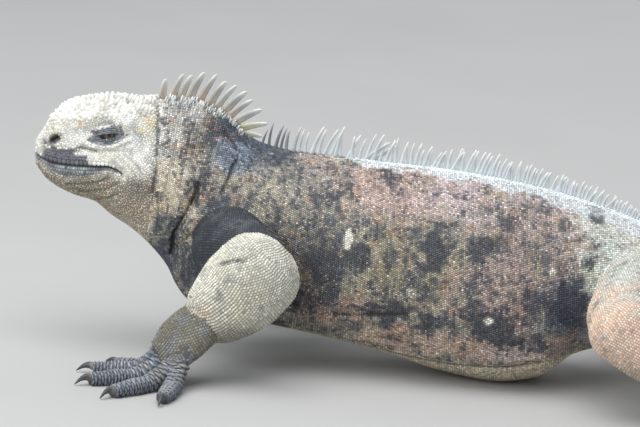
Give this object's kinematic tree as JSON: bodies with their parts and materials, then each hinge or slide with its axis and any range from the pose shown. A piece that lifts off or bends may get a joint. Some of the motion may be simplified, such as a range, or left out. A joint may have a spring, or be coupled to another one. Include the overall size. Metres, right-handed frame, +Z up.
{
  "type": "marine iguana model",
  "caption": "Life-size still model of a marine iguana lying on its belly with its head raised, a spiny crest from nape to tail, scaly skin and clawed feet.",
  "frame": {"origin": "on the floor, under the lowest part of the belly", "axes": "+X from head to tail, +Y to the animal's right, +Z up"},
  "size_m": [1.1311, 0.4604, 0.2014],
  "materials": {
    "head_skin": "cream-white conical scutes, matte",
    "neck_skin": "dark grey granular skin with pale flecks",
    "trunk_skin": "small scales in rows, pinkish brown with blue-black blotches",
    "tail_skin": "keeled scales in rings, olive grey with dark bands",
    "arm_skin": "beaded scales, pale greenish cream",
    "leg_skin": "beaded scales, orange cream",
    "foot_skin": "ringed scales, grey olive",
    "eye": "dark wet eye",
    "claw": "dark horn"
  },
  "bodies": {
    "root": {"head": "head_skin", "lower_jaw": "head_skin", "eye_left": "eye", "eye_right": "eye", "neck": "neck_skin", "torso": "trunk_skin", "tail_1": "tail_skin", "tail_2": "tail_skin", "tail_3": "tail_skin", "tail_4": "tail_skin", "upper_arm_left": "neck_skin", "forearm_left": "arm_skin", "hand_left": "foot_skin", "thigh_left": "leg_skin", "shank_left": "leg_skin", "foot_left": "foot_skin", "upper_arm_right": "neck_skin", "forearm_right": "arm_skin", "hand_right": "foot_skin", "thigh_right": "leg_skin", "shank_right": "leg_skin", "foot_right": "foot_skin", "claw_hand_left_1": "claw", "claw_hand_left_2": "claw", "claw_hand_left_3": "claw", "claw_hand_left_4": "claw", "claw_hand_left_5": "claw", "claw_hand_right_1": "claw", "claw_hand_right_2": "claw", "claw_hand_right_3": "claw", "claw_hand_right_4": "claw", "claw_hand_right_5": "claw", "claw_foot_left_1": "claw", "claw_foot_left_2": "claw", "claw_foot_left_3": "claw", "claw_foot_left_4": "claw", "claw_foot_left_5": "claw", "claw_foot_right_1": "claw", "claw_foot_right_2": "claw", "claw_foot_right_3": "claw", "claw_foot_right_4": "claw", "claw_foot_right_5": "claw"}
  },
  "joints": []
}
